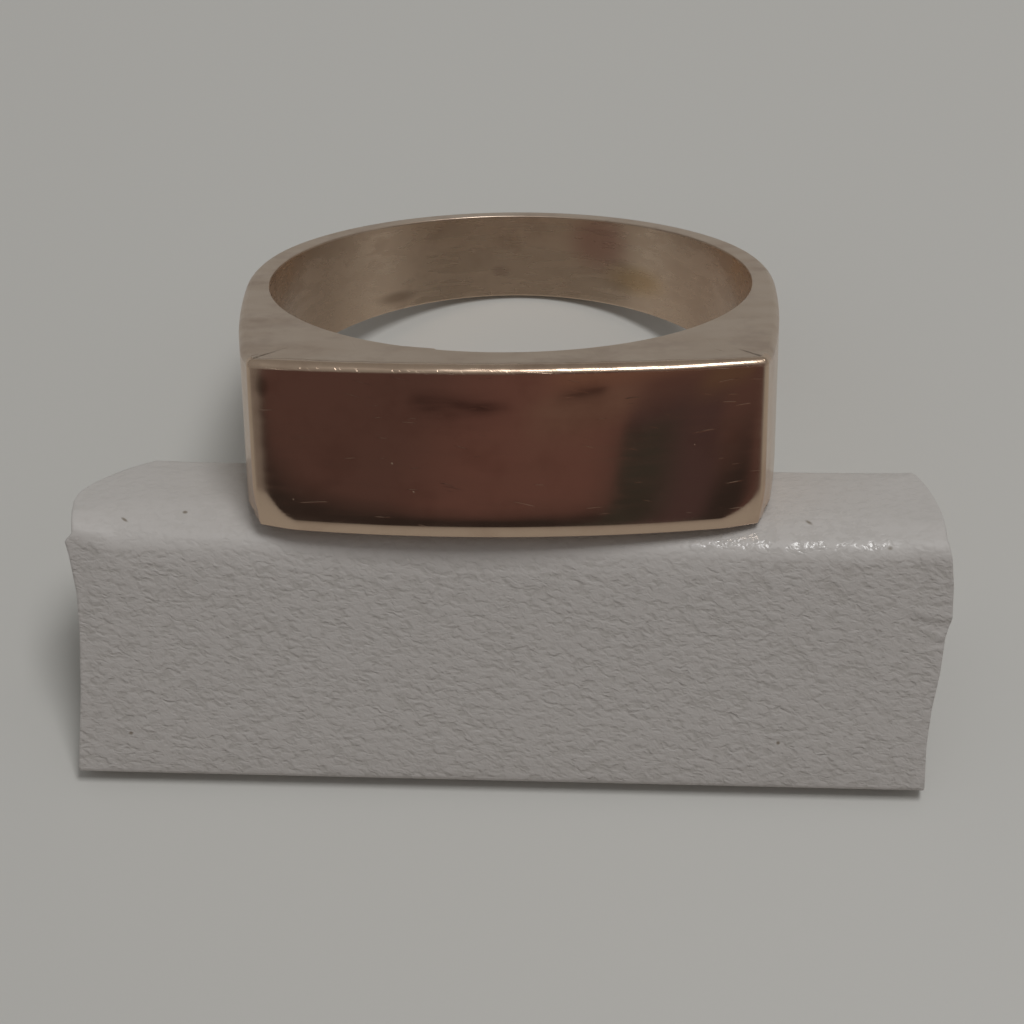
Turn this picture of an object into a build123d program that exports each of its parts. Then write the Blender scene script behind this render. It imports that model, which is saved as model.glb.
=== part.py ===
"""Gold bar ring that leans on a small leatherette-covered display pad.

Millimetres. +Z is up and the surface that both stand on is Z = 0. The plate faces -Y and a little up.
The origin is the middle of the pad's foot, left to right, and the middle of the pad, front to back.
"""

import os
from math import atan, cos, degrees, hypot, radians, sin, tan

from build123d import *

os.makedirs("parts", exist_ok=True)

# Ring, in its own frame: the finger axis is its Z, and the plate's face looks along its -Y
finger_r = 9.9  # finger hole, 19.8 mm across
plate_t = 1.88  # metal between the finger hole and the middle of the plate's face
plate_w = 19.74  # plate, corner to corner
plate_sag = 0.9  # the face curves back this far at its corners
plate_h = 7.12  # plate, lower edge to upper edge
band_h = 3.8  # band's height at the back of the finger hole
band_t = 0.65  # metal at the middle of the back
side_t = 0.94  # metal beside the finger hole, where the shoulders meet the band
upright_round = 0.35  # upright edges of the plate
lower_round = 0.3  # worn lower edge, right round the ring
upper_round = 0.2  # upper edge, right round the ring
rim_round = 0.1  # both rims of the finger hole

# How the ring stands
lean = radians(27)  # slope of the ring's underside, and of the pad's top under it
seat_x = 0.5  # middle of the plate from the middle of the pad
turn = 2.5  # the ring is turned this far on the pad's top, in degrees

# Display pad: a wedge with a steep front, a ridge, and a top that falls to the back
pad_w = 33.9
pad_back_h = 7.3  # height of the upright back
front_slope = 54.56  # of the front face, in degrees from level
overhang = 0.85  # the middle of the plate stands out past the pad's front
ridge_round = 1.4
end_round = 0.5  # edges of the top at the ends and at the back
left_corner_round = 3.2
right_corner_round = 1.0
foot_h = 0.7  # the cover's folded edge stays this far above the surface
foot_inset = 0.8
seat_gap = 0.02  # between the ring's underside and the pad's top

# Sizes that follow
plate_y = -(finger_r + plate_t)
corner_y = plate_y + plate_sag
outer_r = finger_r + side_t
outer_y = band_t - side_t
back_y = outer_y + outer_r
taper = atan((plate_h - band_h) / 2 / (finger_r - plate_y))
edge_lift = lower_round * ((sin(lean) + cos(lean + taper)) / cos(taper) - 1)  # of the worn edge that touches
seat_z = (back_y - plate_y) / cos(taper) * sin(lean) - edge_lift
ridge_y = overhang * cos(lean)
ridge_z = seat_z - overhang * sin(lean) - seat_gap / cos(lean)
front_y = ridge_y - (ridge_z - foot_h) / tan(radians(front_slope))
pad_back_y = ridge_y + (ridge_z - pad_back_h) / tan(lean)
mid_y = (front_y + pad_back_y) / 2
pad_d = pad_back_y - front_y

# The pad's top is a slope that falls to the back. The ring's underside lies on it, turned a little.
slope = Plane(origin=(seat_x, -mid_y, seat_z), x_dir=(1, 0, 0), z_dir=(0, sin(lean), cos(lean)))
underside = Plane(slope.location * Location((0, 0, 0), (0, 0, turn)))
half_taper = Location((0, 0, 0), (-degrees(taper), 0, 0))
ring_plane = Plane(underside.location * half_taper * Location((0, -plate_y, plate_h / 2)))
upperside = Plane(ring_plane.location * Location((0, plate_y, plate_h / 2)) * half_taper)


def in_ring(edge: Edge) -> Vector:
    """The middle of an edge in the ring's own frame."""
    return ring_plane.to_local_coords(edge.position_at(0.5))


def from_axis(edge: Edge) -> float:
    """How far the middle of an edge lies from the finger axis."""
    place = in_ring(edge)
    return hypot(place.X, place.Y)


with BuildPart() as ring:
    with BuildSketch(ring_plane):
        with BuildLine():
            left_corner = (-plate_w / 2, corner_y)
            right_corner = (plate_w / 2, corner_y)
            left_side = (-outer_r, outer_y)
            right_side = (outer_r, outer_y)
            ThreePointArc(left_corner, (0, plate_y), right_corner)
            TangentArc(right_side, right_corner, tangent=(0, -1))
            ThreePointArc(right_side, (0, back_y), left_side)
            TangentArc(left_side, left_corner, tangent=(0, -1))
        make_face()
        Circle(finger_r, mode=Mode.SUBTRACT)
    extrude(amount=plate_h, both=True)
    # The sides are flat, and slope towards each other from the plate to the back
    split(bisect_by=underside, keep=Keep.TOP)
    split(bisect_by=upperside, keep=Keep.BOTTOM)

    # The plate's upright edges come first, so that the outer edges run smoothly round them
    uprights = ring.edges().filter_by(lambda e: in_ring(e).Y < corner_y / 2 and abs(in_ring(e).Z) < band_h / 4)
    fillet(uprights, upright_round)
    outer_edges = ring.edges().filter_by(lambda e: from_axis(e) > finger_r + band_t / 2)
    fillet(outer_edges.filter_by(lambda e: in_ring(e).Z < -band_h / 4), lower_round)
    outer_edges = ring.edges().filter_by(lambda e: from_axis(e) > finger_r + band_t / 2)
    fillet(outer_edges.filter_by(lambda e: in_ring(e).Z > band_h / 4), upper_round)
    rims = ring.edges().filter_by(lambda e: from_axis(e) < finger_r + band_t / 2 and e.length > plate_w)
    fillet(rims, rim_round)
ring.part.label = "ring"
export_step(ring.part, "parts/ring.step")

with BuildPart() as display_pad:
    # Body: the covered wedge, above the fold of the cover
    with BuildSketch(Plane.YZ.offset(-pad_w / 2)):
        Polygon(
            (-pad_d / 2, foot_h),
            (ridge_y - mid_y, ridge_z),
            (pad_d / 2, pad_back_h),
            (pad_d / 2, foot_h),
            align=None,
        )
    extrude(amount=pad_w)
    back_left = display_pad.edges().filter_by(Axis.Z).sort_by(Axis.X)[0]
    fillet(back_left, left_corner_round)
    back_right = display_pad.edges().filter_by(Axis.Z).sort_by(Axis.X)[-1]
    fillet(back_right, right_corner_round)
    ridge = display_pad.edges().filter_by(Axis.X).sort_by(Axis.Z)[-1]
    fillet(ridge, ridge_round)
    top = display_pad.faces().sort_by(lambda f: f.normal_at().Z)[-1]
    fillet(top.edges().filter_by(lambda e: e.center().Y > 0 or abs(e.center().X) > pad_w / 4), end_round)
    # Foot: the core, set in under the fold
    with BuildSketch():
        Rectangle(pad_w - 2 * foot_inset, pad_d - 2 * foot_inset)
    extrude(amount=foot_h)
display_pad.part.label = "display_pad"
export_step(display_pad.part, "parts/display_pad.step")
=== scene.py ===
"""Looks of the gold bar ring on its leatherette display pad: meshes, finishes, light and camera.

Sizes are in millimetres, as the part's source has them, and each mesh is written in metres. The ring's mesh
is worked out in the ring's own frame: the finger axis is its Z, and the plate's face looks along its -Y.
"""

import logging
from collections.abc import Sequence
from dataclasses import dataclass, field
from enum import Enum
from math import atan, atan2, cos, pi, radians, sin, sqrt, tan

import bpy
import numpy as np
from mathutils import Matrix, Vector


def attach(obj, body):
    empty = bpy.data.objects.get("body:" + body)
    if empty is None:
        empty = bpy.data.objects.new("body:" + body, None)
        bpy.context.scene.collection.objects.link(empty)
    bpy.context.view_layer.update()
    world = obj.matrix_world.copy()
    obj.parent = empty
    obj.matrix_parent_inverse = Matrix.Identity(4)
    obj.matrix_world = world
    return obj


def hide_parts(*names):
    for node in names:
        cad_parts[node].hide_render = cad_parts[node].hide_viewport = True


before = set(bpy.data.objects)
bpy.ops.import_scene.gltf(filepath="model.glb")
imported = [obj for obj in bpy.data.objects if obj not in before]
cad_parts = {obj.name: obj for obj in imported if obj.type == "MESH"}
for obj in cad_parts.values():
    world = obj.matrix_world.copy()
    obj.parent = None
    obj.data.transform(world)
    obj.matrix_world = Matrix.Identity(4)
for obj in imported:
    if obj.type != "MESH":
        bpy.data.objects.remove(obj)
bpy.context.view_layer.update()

MM = 0.001
BODY = "root"
RUBBED = "rubbed"  # a value on the ring's mesh: 0 on the plate's mirror, 1 on its dull border
log = logging.getLogger("ring_scene")

Node = bpy.types.Node
Socket = bpy.types.NodeSocket
Inputs = dict[str | int, object]
Face = tuple[int, ...]


def linear(hex_colour: str) -> tuple[float, float, float, float]:
    """Turns an sRGB hex colour into linear values.

    Args:
        hex_colour: Six hex digits, such as "E2C8B1".

    Returns:
        Linear red, green and blue, and an alpha of 1.
    """
    shares = [int(hex_colour[i : i + 2], 16) / 255 for i in (0, 2, 4)]
    red, green, blue = (s / 12.92 if s <= 0.04045 else ((s + 0.055) / 1.055) ** 2.4 for s in shares)
    return (red, green, blue, 1.0)


def span(low: float, high: float, start: float = 0.0, end: float = 1.0) -> Inputs:
    """Inputs that turn the values from low to high into values from start to end."""
    return {"From Min": low, "From Max": high, "To Min": start, "To Max": end}


class Nodes:
    """The nodes of a material or the world while they are added, and the place that their patterns read."""

    def __init__(self, owner: bpy.types.Material | bpy.types.World, coordinates: str) -> None:
        """Empties the owner's nodes.

        Args:
            owner: What the nodes belong to.
            coordinates: The coordinates that give the place.
        """
        owner.use_nodes = True
        self.tree = owner.node_tree
        self.tree.nodes.clear()
        self.place: Node | Socket = self.add("TexCoord").outputs[coordinates]

    def add(self, kind: str, inputs: Inputs | None = None, **settings: object) -> Node:
        """Adds a node with its settings, and sets or links its inputs.

        Args:
            kind: Blender's name for the node type, without its "ShaderNode".
            inputs: For each input, by name or number, a value to set, or a socket or node to link. Of a
                node, the first output is linked.
            **settings: The node's own properties.

        Returns:
            The new node.
        """
        node = self.tree.nodes.new("ShaderNode" + kind)
        for name, value in settings.items():
            setattr(node, name, value)
        for name, value in (inputs or {}).items():
            source = value.outputs[0] if isinstance(value, Node) else value
            if isinstance(source, Socket):
                self.tree.links.new(source, node.inputs[name])
            else:
                node.inputs[name].default_value = source
        return node

    def layered(self, base: str, layers: Sequence[tuple[Node, str]]) -> Socket:
        """Lays colours over a base colour, one after the other.

        Args:
            base: The base colour.
            layers: The share of each colour over it, and the colour.

        Returns:
            The colour that comes out.
        """
        colour: Socket | tuple[float, ...] = linear(base)
        for share, over in layers:
            mixed = {0: share, 6: colour, 7: linear(over)}
            colour = self.add("Mix", mixed, data_type="RGBA").outputs[2]
        return colour


def new_material(name: str, stand: Matrix | None = None) -> tuple[bpy.types.Material, Nodes]:
    """Makes an empty material whose patterns read the place on the piece in millimetres.

    Args:
        name: The material's name.
        stand: The frame that the place is measured in, or the object's own frame when it is missing.

    Returns:
        The material and its nodes.
    """
    made = bpy.data.materials.new(name)
    nodes = Nodes(made, "Object")
    if stand is not None:
        seated = {"Vector": nodes.place, "Location": stand.translation, "Rotation": stand.to_euler()}
        nodes.place = nodes.add("Mapping", seated, vector_type="TEXTURE")
    nodes.place = nodes.add("VectorMath", {0: nodes.place, "Scale": 1 / MM}, operation="SCALE")
    return made, nodes


def smooth(value: np.ndarray | float, low: float, high: float) -> np.ndarray:
    """A smooth step from 0 at low to 1 at high."""
    share = np.clip((np.asarray(value, float) - low) / (high - low), 0.0, 1.0)
    return share * share * (3 - 2 * share)


def bend(value: np.ndarray, softness: np.ndarray | float) -> np.ndarray:
    """The value where it is above 0, and 0 below, with a soft bend between."""
    return (value + np.sqrt(value**2 + softness**2)) / 2


def mesh_object(name: str, points: np.ndarray, faces: Sequence[Face]) -> bpy.types.Object:
    """Makes a smooth-shaded mesh object.

    Args:
        name: Name of the object and its mesh.
        points: Vertex places in millimetres, one row each.
        faces: Vertex numbers of each face.

    Returns:
        The new object, in the scene.
    """
    mesh = bpy.data.meshes.new(name)
    mesh.from_pydata((points * MM).tolist(), [], list(faces))
    mesh.polygons.foreach_set("use_smooth", [True] * len(mesh.polygons))
    mesh.update()
    made = bpy.data.objects.new(name, mesh)
    bpy.context.scene.collection.objects.link(made)
    return made


def belt_faces(below: int, above: int, around: int) -> list[Face]:
    """Quads between two closed lines of points, given the number of each line's first point."""
    nexts = [(i + 1) % around for i in range(around)]
    return [(below + i, below + k, above + k, above + i) for i, k in enumerate(nexts)]


class Zone(Enum):
    """Where on the ring a finish lies. The value is the material's place on the mesh."""

    PLATE = 0
    SIDES = 1
    BORE = 2
    BEVEL = 3


@dataclass(frozen=True)
class Spot:
    """An oval in the frame that the piece's patterns are measured in, in millimetres, turned about its Z."""

    place: tuple[float, float, float]
    half_sizes: tuple[float, float, float]
    turn: float = 0.0

    def share(self, nodes: Nodes, inner: float) -> Node:
        """Adds the oval's share: 1 inside, up to the inner part of its size, and 0 outside.

        Args:
            nodes: The material's nodes.
            inner: The part of the oval's size where the share starts to fall.

        Returns:
            The node that gives the share.
        """
        oval = {
            "Vector": nodes.place,
            "Location": self.place,
            "Rotation": (0.0, 0.0, radians(self.turn)),
            "Scale": self.half_sizes,
        }
        inside = nodes.add("Mapping", oval, vector_type="TEXTURE")
        away = nodes.add("VectorMath", {0: inside}, operation="LENGTH").outputs["Value"]
        fall = {"Value": away, **span(inner, 1.0, 1.0, 0.0)}
        return nodes.add("MapRange", fall, interpolation_type="SMOOTHSTEP")


@dataclass(frozen=True)
class GoldFinish:
    """A finish of solid 14 ct gold.

    Gold reflects red more than blue, and the copper in it pulls the yellow towards pink. Years of wear leave
    it shiny, with hairline scratches, small pits and a thin brown film where it isn't rubbed.
    """

    name: str
    roughness: float
    rough_spread: float
    scratch_depth_mm: float
    scratch_from: float
    wave_mm: float
    wave_depth_mm: float
    film: float
    film_mm: float = 2.0
    film_range: tuple[float, float] = (0.46, 0.72)
    wear_stretch: tuple[float, float, float] = (0.35, 1.0, 2.6)
    wear_range: tuple[float, float] = (0.4, 0.68)
    scratch_turns: tuple[int, ...] = (4, -33, 62)
    scratch_width_mm: float = 0.06
    scratch_edge: float = 0.06
    scratch_length_mm: float = 2.2
    pit_share: float = 0.0
    pit_mm: float = 0.04
    pit_gap_mm: float = 0.95
    pit_depth_mm: float = 0.006
    dents: tuple[Spot, ...] = ()
    dent_depth_mm: float = 0.05
    stains_and_painted_shade: tuple[tuple[Spot, str], ...] = ()
    stain_and_shade_inner: float = 0.2
    border_extra: float = 0.0
    colour: str = "D6BDA6"
    film_colour: str = "8A6450"

    def material(self, stand: Matrix) -> bpy.types.Material:
        """Builds the gold.

        Args:
            stand: The ring's own frame, which the patterns are measured in.

        Returns:
            The material.
        """
        made, nodes = new_material(self.name, stand)
        surface = {
            "Base Color": self.stained_and_shaded(nodes),
            "Metallic": 1.0,
            "Roughness": self.dulled(nodes),
            "Normal": self.relief(nodes),
        }
        nodes.add("OutputMaterial", {"Surface": nodes.add("BsdfPrincipled", surface)})
        return made

    def stained_and_shaded(self, nodes: Nodes) -> Socket:
        """Adds the colour: the gold, its cloudy brown film, and its stains and painted shade.

        Args:
            nodes: The material's nodes.

        Returns:
            The colour.
        """
        cloudy = {"Vector": nodes.place, "Scale": 1 / self.film_mm, "Detail": 3.0, "Roughness": 0.65}
        clouds = nodes.add("TexNoise", cloudy)
        film = {"Value": clouds, **span(*self.film_range, 0.0, self.film)}
        layers = [(nodes.add("MapRange", film, interpolation_type="SMOOTHSTEP"), self.film_colour)]
        # The spots lay stains and patches of painted shade over the gold
        layers += [(spot.share(nodes, self.stain_and_shade_inner), spot_colour) for spot, spot_colour in self.stains_and_painted_shade]
        return nodes.layered(self.colour, layers)

    def dulled(self, nodes: Nodes) -> Node:
        """Adds the roughness, which wear has left uneven along the ring and higher on a rubbed border.

        Args:
            nodes: The material's nodes.

        Returns:
            The node that gives the roughness.
        """
        drawn_out = nodes.add("Mapping", {"Vector": nodes.place, "Scale": self.wear_stretch})
        uneven = nodes.add("TexNoise", {"Vector": drawn_out, "Scale": 0.9, "Detail": 2.0, "Roughness": 0.65})
        worn = span(*self.wear_range, self.roughness, self.roughness + self.rough_spread)
        roughness = nodes.add("MapRange", {"Value": uneven, **worn})
        if self.border_extra == 0.0:
            return roughness
        border = nodes.add("Attribute", attribute_name=RUBBED).outputs["Fac"]
        return nodes.add("Math", {0: border, 1: self.border_extra, 2: roughness}, operation="MULTIPLY_ADD")

    def relief(self, nodes: Nodes) -> Node:
        """Adds the worn surface: slow waves, hairline scratches, pits and dents.

        Args:
            nodes: The material's nodes.

        Returns:
            The node that gives the normal.
        """
        slow = {"Vector": nodes.place, "Scale": 1 / self.wave_mm, "Detail": 1.0, "Roughness": 0.45}
        waves = nodes.add("TexNoise", slow)
        layers = [(self.scratches(nodes), self.scratch_depth_mm)]
        if self.pit_share > 0:
            layers.append((self.pits(nodes), self.pit_depth_mm))
        layers += [(dent.share(nodes, 0.0), -self.dent_depth_mm) for dent in self.dents]
        height = nodes.add("Math", {0: waves, 1: self.wave_depth_mm}, operation="MULTIPLY")
        for layer, depth in layers:
            height = nodes.add("Math", {0: layer, 1: depth, 2: height}, operation="MULTIPLY_ADD")
        return nodes.add("Bump", {"Distance": MM, "Height": height})

    def scratches(self, nodes: Nodes) -> Node:
        """Adds crossing layers of hairline scratches.

        A real hairline is about 0.01 mm wide. They are drawn 0.06 mm wide, or they wouldn't show.

        Args:
            nodes: The material's nodes.

        Returns:
            The node that gives the height: 0 in a scratch, 1 on the metal.
        """
        height: Node | None = None
        for turn in self.scratch_turns:
            streak = {
                "Vector": nodes.place,
                "Location": (turn * 7.3, turn * 3.1, turn * 5.9),
                "Rotation": (0.0, radians(turn), 0.0),
                "Scale": (self.scratch_length_mm, 3.0, self.scratch_width_mm),
            }
            turned = nodes.add("Mapping", streak, vector_type="TEXTURE")
            streaks = nodes.add("TexNoise", {"Vector": turned, "Scale": 1.0, "Detail": 0.0})
            cut = span(self.scratch_from, self.scratch_from + self.scratch_edge, 1.0, 0.0)
            layer = nodes.add("MapRange", {"Value": streaks, **cut})
            if height is not None:
                layer = nodes.add("Math", {0: height, 1: layer}, operation="MINIMUM")
            height = layer
        assert height is not None
        return height

    def pits(self, nodes: Nodes) -> Node:
        """Adds small pits in a share of the cells of a grid of random points.

        Args:
            nodes: The material's nodes.

        Returns:
            The node that gives the height: 0 in a pit, 1 on the metal.
        """
        cells = nodes.add("TexVoronoi", {"Vector": nodes.place, "Scale": 1 / self.pit_gap_mm}).outputs
        chance = nodes.add("SeparateColor", {0: cells["Color"]})
        skipped = nodes.add("Math", {0: chance, 1: self.pit_share}, operation="GREATER_THAN")
        reach = self.pit_mm / self.pit_gap_mm
        bowl = {"Value": cells["Distance"], **span(reach * 0.4, reach)}
        dip = nodes.add("MapRange", bowl, interpolation_type="SMOOTHSTEP")
        return nodes.add("Math", {0: dip, 1: skipped}, operation="MAXIMUM")


@dataclass(frozen=True)
class LeatheretteFinish:
    """White PVC leatherette, hot-embossed with a fine pebble grain and then stretched over the pad.

    The pebbles lie along the pad, with creases between them that fade in places; the creases are painted a
    little darker as shade.
    Where the cover is pulled over the ridge and the top the grain is pressed flat, and at one end the ridge
    is rubbed shiny.
    """

    name: str = "white_leatherette_embossed"
    colour: str = "CBC7C3"
    crease_shade_colour: str = "C0BCB7"
    roughness: float = 0.5
    rubbed_roughness: float = 0.17
    rubbed_place: Spot = Spot((11.4, 0.9, 9.0), (4.4, 2.2, 3.0))
    rubbed_inner: float = 0.75
    rubbed_range: tuple[float, float] = (0.46, 0.52)
    speck_colour: str = "8F867A"
    speck_inner: float = 0.3
    specks: tuple[Spot, ...] = (
        Spot((-12.27, 1.8, 9.02), (0.14, 0.1, 0.25)),
        Spot((-14.6, 1.36, 9.04), (0.22, 0.08, 0.25), -35),
        Spot((-14.69, -4.43, 2.23), (0.13, 0.3, 0.09)),
        Spot((12.01, 1.83, 9.15), (0.26, 0.1, 0.25), -40),
        Spot((10.43, 0.51, 9.16), (0.09, 0.15, 0.25)),
        Spot((15.1, 0.68, 9.2), (0.16, 0.12, 0.25)),
        Spot((11.09, -4.28, 2.43), (0.1, 0.3, 0.1)),
    )
    pebble_mm: float = 0.32
    pebble_lean: float = radians(16)
    pebble_length: float = 1.7
    pebble_warp: float = 0.8
    crease_depth_mm: float = 0.03
    crease_range: tuple[float, float] = (0.0, 0.4)
    patch_mm: float = 0.36
    patch_range: tuple[float, float] = (0.42, 0.62)
    patch_strength: tuple[float, float] = (0.1, 0.9)
    pressed_share: float = 0.4
    top_slope: tuple[float, float] = (0.62, 0.8)

    def material(self) -> bpy.types.Material:
        """Builds the leatherette.

        Returns:
            The material.
        """
        made, nodes = new_material(self.name)
        creased, height, patches = self.grain(nodes)
        up = nodes.add("SeparateXYZ", {0: nodes.add("NewGeometry").outputs["Normal"]}).outputs[2]
        pressed = nodes.add("MapRange", {"Value": up, **span(*self.top_slope, 1.0, self.pressed_share)})
        embossed = {"Strength": pressed, "Distance": self.crease_depth_mm * MM, "Height": height}
        # Painted shade: the creases are coloured a little darker, and less so where the grain is pressed
        # flat
        painted_crease_shade = nodes.add("Math", {0: creased, 1: pressed}, operation="MULTIPLY")
        layers = [(painted_crease_shade, self.crease_shade_colour)]
        layers += [(speck.share(nodes, self.speck_inner), self.speck_colour) for speck in self.specks]
        surface = {
            "Base Color": nodes.layered(self.colour, layers),
            "Roughness": self.dulled(nodes, patches),
            "Normal": nodes.add("Bump", embossed),
        }
        nodes.add("OutputMaterial", {"Surface": nodes.add("BsdfPrincipled", surface)})
        return made

    def grain(self, nodes: Nodes) -> tuple[Node, Node, Node]:
        """Adds the embossed grain.

        Args:
            nodes: The material's nodes.

        Returns:
            The nodes that give how deep a crease is, the surface's height, and cloudy patches.
        """
        uneven = {"Vector": nodes.place, "Scale": 0.8 / self.pebble_mm, "Detail": 1.0}
        warp = nodes.add("TexNoise", uneven).outputs[1]
        shift = {0: warp, 1: (self.pebble_warp * self.pebble_mm,) * 3, 2: nodes.place}
        shifted = nodes.add("VectorMath", shift, operation="MULTIPLY_ADD")
        laid = {
            "Vector": shifted,
            "Rotation": (0.0, self.pebble_lean, 0.0),
            "Scale": (self.pebble_length, 1.0, 1.0),
        }
        place = nodes.add("Mapping", laid, vector_type="TEXTURE")
        pebbles = {"Vector": place, "Scale": 1 / self.pebble_mm}
        edges = nodes.add("TexVoronoi", pebbles, feature="DISTANCE_TO_EDGE")
        valley = {"Value": edges, **span(*self.crease_range, 1.0, 0.0)}
        crease = nodes.add("MapRange", valley, interpolation_type="SMOOTHSTEP")
        cloudy = {"Vector": place, "Scale": 1.0 / self.patch_mm, "Detail": 2.0, "Roughness": 0.6}
        patches = nodes.add("TexNoise", cloudy)
        strength = nodes.add("MapRange", {"Value": patches, **span(*self.patch_range, *self.patch_strength)})
        creased = nodes.add("Math", {0: crease, 1: strength}, operation="MULTIPLY")
        pores = {"Vector": place, "Scale": 1.3 / self.pebble_mm, "Detail": 2.0, "Roughness": 0.7}
        fine = nodes.add("TexNoise", pores)
        bowls = nodes.add("Math", {0: creased, 1: -1.0}, operation="MULTIPLY")
        height = nodes.add("Math", {0: fine, 1: 1.5, 2: bowls}, operation="MULTIPLY_ADD")
        return creased, height, patches

    def dulled(self, nodes: Nodes, patches: Node) -> Node:
        """Adds the roughness, which is lower in rubbed spots at one end of the ridge.

        Args:
            nodes: The material's nodes.
            patches: Cloudy patches that the spots follow.

        Returns:
            The node that gives the roughness.
        """
        spots = nodes.add("MapRange", {"Value": patches, **span(*self.rubbed_range)})
        right_end = self.rubbed_place.share(nodes, self.rubbed_inner)
        rubbed = nodes.add("Math", {0: right_end, 1: spots}, operation="MULTIPLY")
        shine = {"Value": rubbed, **span(0.0, 1.0, self.roughness, self.rubbed_roughness)}
        return nodes.add("MapRange", shine)


@dataclass(frozen=True)
class PlainFinish:
    """An even matt or satin surface with faint cloudiness, such as lacquered board or cut card."""

    name: str
    colour: str
    cloud_colour: str
    roughness: float
    cloud_mm: float

    def material(self) -> bpy.types.Material:
        """Builds the plain surface.

        Returns:
            The material.
        """
        made, nodes = new_material(self.name)
        clouds = nodes.add("TexNoise", {"Vector": nodes.place, "Scale": 1 / self.cloud_mm, "Detail": 1.0})
        colour = nodes.layered(self.colour, [(clouds, self.cloud_colour)])
        shader = nodes.add("BsdfPrincipled", {"Base Color": colour, "Roughness": self.roughness})
        nodes.add("OutputMaterial", {"Surface": shader})
        return made


@dataclass(frozen=True)
class RingSizes:
    """The ring's sizes in millimetres, and what follows from them."""

    finger_r: float = 9.9
    plate_t: float = 1.88
    plate_w: float = 19.74
    plate_sag: float = 0.9
    plate_h: float = 7.12
    band_h: float = 3.8
    band_t: float = 0.65
    side_t: float = 0.94
    upright_round: float = 0.35
    lower_round: float = 0.3
    upper_round: float = 0.2

    @property
    def plate_y(self) -> float:
        """The middle of the plate's face."""
        return -(self.finger_r + self.plate_t)

    @property
    def corner_y(self) -> float:
        """The plate's corners."""
        return self.plate_y + self.plate_sag

    @property
    def outer_r(self) -> float:
        """Radius of the back, outside."""
        return self.finger_r + self.side_t

    @property
    def outer_y(self) -> float:
        """The centre of the back's arc."""
        return self.band_t - self.side_t

    @property
    def taper(self) -> float:
        """Angle of each flat side to the finger hole's cross-section."""
        return atan((self.plate_h - self.band_h) / 2 / (self.finger_r - self.plate_y))


@dataclass(frozen=True)
class Stand:
    """How the ring stands on the pad: its slope, its turn and the middle of the plate's lower edge."""

    sizes: RingSizes
    lean: float = radians(27)
    turn: float = radians(2.5)
    seat: tuple[float, float, float] = (0.5, 0.1125, 10.0738)

    def matrix(self) -> Matrix:
        """From the ring's own frame to the row's, in metres.

        Returns:
            The matrix.
        """
        up_to_seat = Vector((0.0, -self.sizes.plate_y, self.sizes.plate_h / 2))
        return (
            Matrix.Translation(Vector(self.seat) * MM)
            @ Matrix.Rotation(-self.lean, 4, "X")
            @ Matrix.Rotation(self.turn, 4, "Z")
            @ Matrix.Rotation(-self.sizes.taper, 4, "X")
            @ Matrix.Translation(up_to_seat * MM)
        )


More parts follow.
